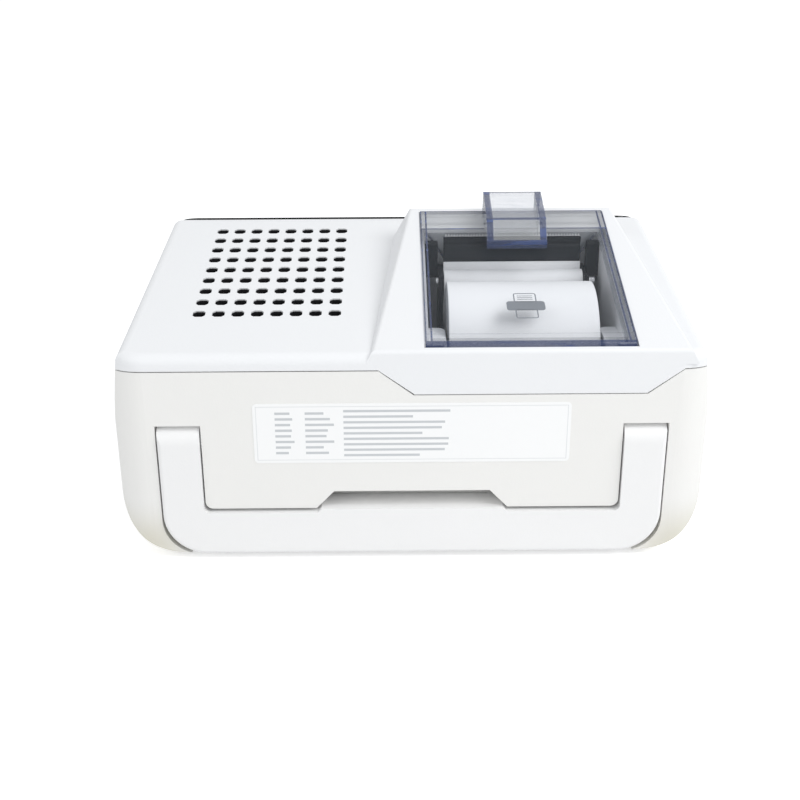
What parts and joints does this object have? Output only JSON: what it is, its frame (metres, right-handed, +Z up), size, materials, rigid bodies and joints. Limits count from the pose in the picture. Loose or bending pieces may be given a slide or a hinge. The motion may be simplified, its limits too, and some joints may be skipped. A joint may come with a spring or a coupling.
{
  "type": "immunoassay analyzer",
  "caption": "Bench-top immunoassay analyzer with a sloping screen, a clear lid over its paper printer, a slotted air vent, a card tray and a fold-down carrying handle.",
  "frame": {"origin": "on the table, under the middle of the case and its handle", "axes": "+Z up; -Y is the side with the carrying handle and the printer lid's hinge; +Y is the side with the screen and the card tray; +X is to the right seen from the handle side"},
  "size_m": [0.222, 0.211, 0.1205],
  "materials": {
    "cover_plastic": "fine texture, cool white",
    "tub_plastic": "fine texture, warm white",
    "handle_plastic": "fine texture, cool white",
    "clear_plastic": "clear moulded plastic with blue edges",
    "bay_plastic": "satin light grey",
    "black_plastic": "satin black",
    "grey_plastic": "satin grey",
    "paper": "smooth thermal paper",
    "cardboard": "grey-brown board",
    "rubber": "matt",
    "steel": "turned",
    "aluminium": "satin",
    "brass": "plain",
    "screen_glass": "polished dark glass",
    "board": "solder mask",
    "battery_sleeve": "shrunk sleeve"
  },
  "bodies": {
    "housing": {"lower_shell": "tub_plastic", "upper_shell": "cover_plastic", "lid_pin_left": "steel", "lid_pin_right": "steel", "handle_pin_left": "steel", "handle_pin_right": "steel", "printer_bay": "bay_plastic", "printer_frame": "black_plastic", "print_head": "black_plastic", "feed_motor": "aluminium", "paper_roll": "paper", "roll_core": "cardboard", "fan_frame": "black_plastic", "fan_screws": "steel", "screen_glass": "screen_glass", "display_module": "black_plastic", "main_board": "board", "supply_board": "board", "supply_transformer": "grey_plastic", "supply_capacitors": "black_plastic", "battery_pack": "battery_sleeve", "tray_frame": "grey_plastic", "tray_rails": "steel", "tray_motor": "black_plastic", "optics_housing": "black_plastic", "optics_lens": "clear_plastic", "optics_lamp": "clear_plastic", "detector_board": "board", "button_board": "board", "mains_inlet": "black_plastic", "inlet_blades": "brass", "switch_frame": "black_plastic", "data_port_lower": "steel", "data_port_upper": "steel", "loudspeaker": "black_plastic", "foot_rear_left": "rubber", "foot_rear_right": "rubber", "foot_front_left": "rubber", "foot_front_right": "rubber", "case_screws": "steel"},
    "lid": {"printer_lid": "clear_plastic"},
    "carry_handle": {"handle": "handle_plastic"},
    "fan": {"fan_rotor": "grey_plastic"},
    "platen": {"platen_roller": "rubber", "platen_shaft": "steel"},
    "tray": {"card_tray": "grey_plastic"},
    "lead_screw": {"tray_screw": "steel"},
    "power_key": {"power_button": "handle_plastic"},
    "mains_rocker": {"switch_rocker": "black_plastic"}
  },
  "joints": [
    {"name": "lid_hinge", "type": "hinge", "parent": "housing", "child": "lid", "pos_m": [0.043, -0.09722, 0.08248], "axis": [1, 0, 0], "range_deg": [0, 95]},
    {"name": "handle_hinge", "type": "hinge", "parent": "housing", "child": "carry_handle", "pos_m": [0, -0.099, 0.048], "axis": [-1, 0, 0], "range_deg": [0, 90]},
    {"name": "fan_spin", "type": "hinge", "parent": "housing", "child": "fan", "pos_m": [-0.0545, -0.03176, 0.08279], "axis": [0, -0.1631, 0.9866], "continuous": true},
    {"name": "platen_spin", "type": "hinge", "parent": "housing", "child": "platen", "pos_m": [0.043, -0.027, 0.086], "axis": [1, 0, 0], "continuous": true},
    {"name": "tray_slide", "type": "slide", "parent": "housing", "child": "tray", "axis": [0, 1, 0], "range_m": [0, 0.045]},
    {"name": "lead_screw_turn", "type": "hinge", "parent": "housing", "child": "lead_screw", "pos_m": [0.05, 0.0535, 0.02], "axis": [0, 1, 0], "range_deg": [0, 2026]},
    {"name": "power_key_press", "type": "slide", "parent": "housing", "child": "power_key", "axis": [0, -1, 0], "range_m": [0, 0.0012], "stiffness_N_per_m": 300},
    {"name": "mains_rocker_tilt", "type": "hinge", "parent": "housing", "child": "mains_rocker", "pos_m": [0.1075, 0.048, 0.034], "axis": [0, -1, 0], "range_deg": [0, 12]}
  ],
  "couplings": [
    {"joint": "lead_screw_turn", "follows": "tray_slide", "rad_per_m": 785.4}
  ]
}
